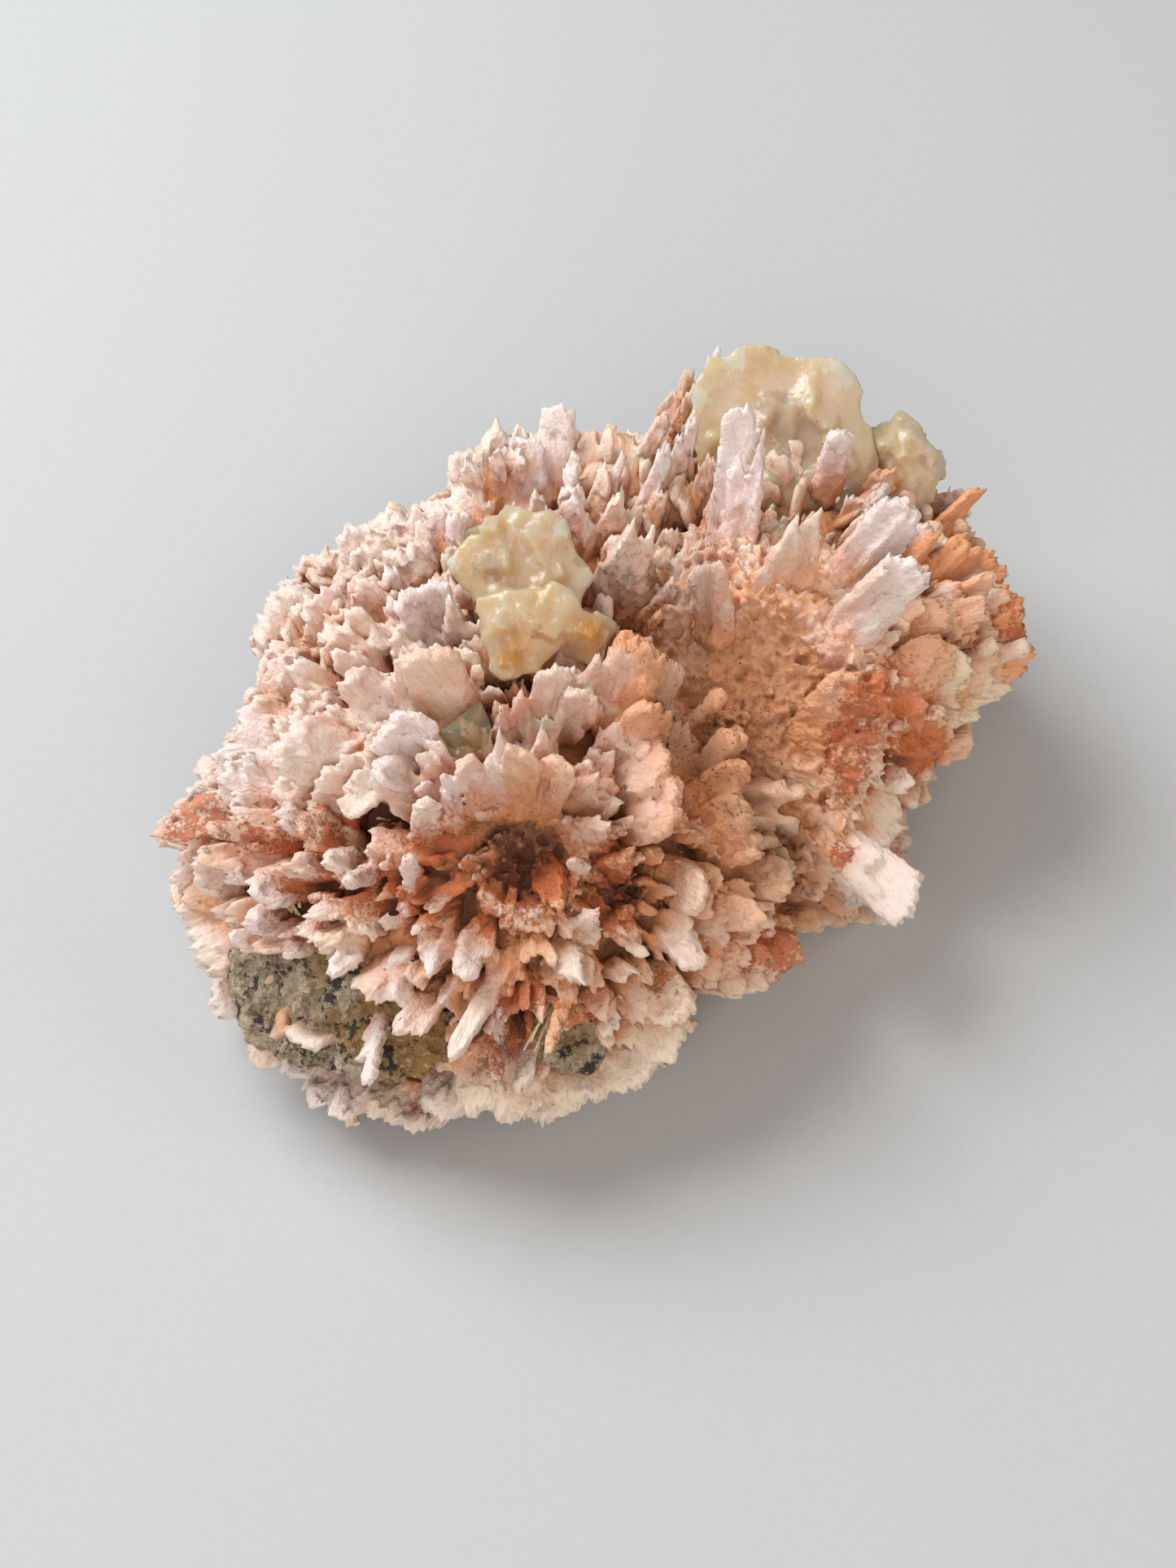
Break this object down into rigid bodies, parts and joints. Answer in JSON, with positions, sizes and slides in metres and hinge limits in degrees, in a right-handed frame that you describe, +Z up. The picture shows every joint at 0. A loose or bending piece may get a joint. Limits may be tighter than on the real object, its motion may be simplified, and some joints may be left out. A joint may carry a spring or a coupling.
{
  "type": "zeolite mineral specimen",
  "caption": "Natural mineral specimen: radiating sprays of flat pink-white saw-edged blades with honey-yellow crystal masses and dark basalt matrix, cut flat below to rest on a shelf.",
  "frame": {"origin": "a point on the flat cut base that the specimen rests on, below its middle", "axes": "+Z up, +X to the right as the picture's viewer sees it, +Y away from that viewer"},
  "size_m": [0.108, 0.0967, 0.0527],
  "materials": {
    "blades": "waxy satin, pink-white with rust dust",
    "yellow_crystal": "glassy to waxy, honey yellow",
    "clear_crystal": "glassy, pale greenish yellow",
    "basalt": "rough, speckled tan and black"
  },
  "bodies": {
    "root": {"bladed_crystals": "blades", "yellow_crystals_top": "yellow_crystal", "yellow_crystals_middle": "yellow_crystal", "yellow_crystals_side": "yellow_crystal", "clear_crystal": "clear_crystal", "basalt_matrix": "basalt", "basalt_remnant": "basalt"}
  },
  "joints": []
}
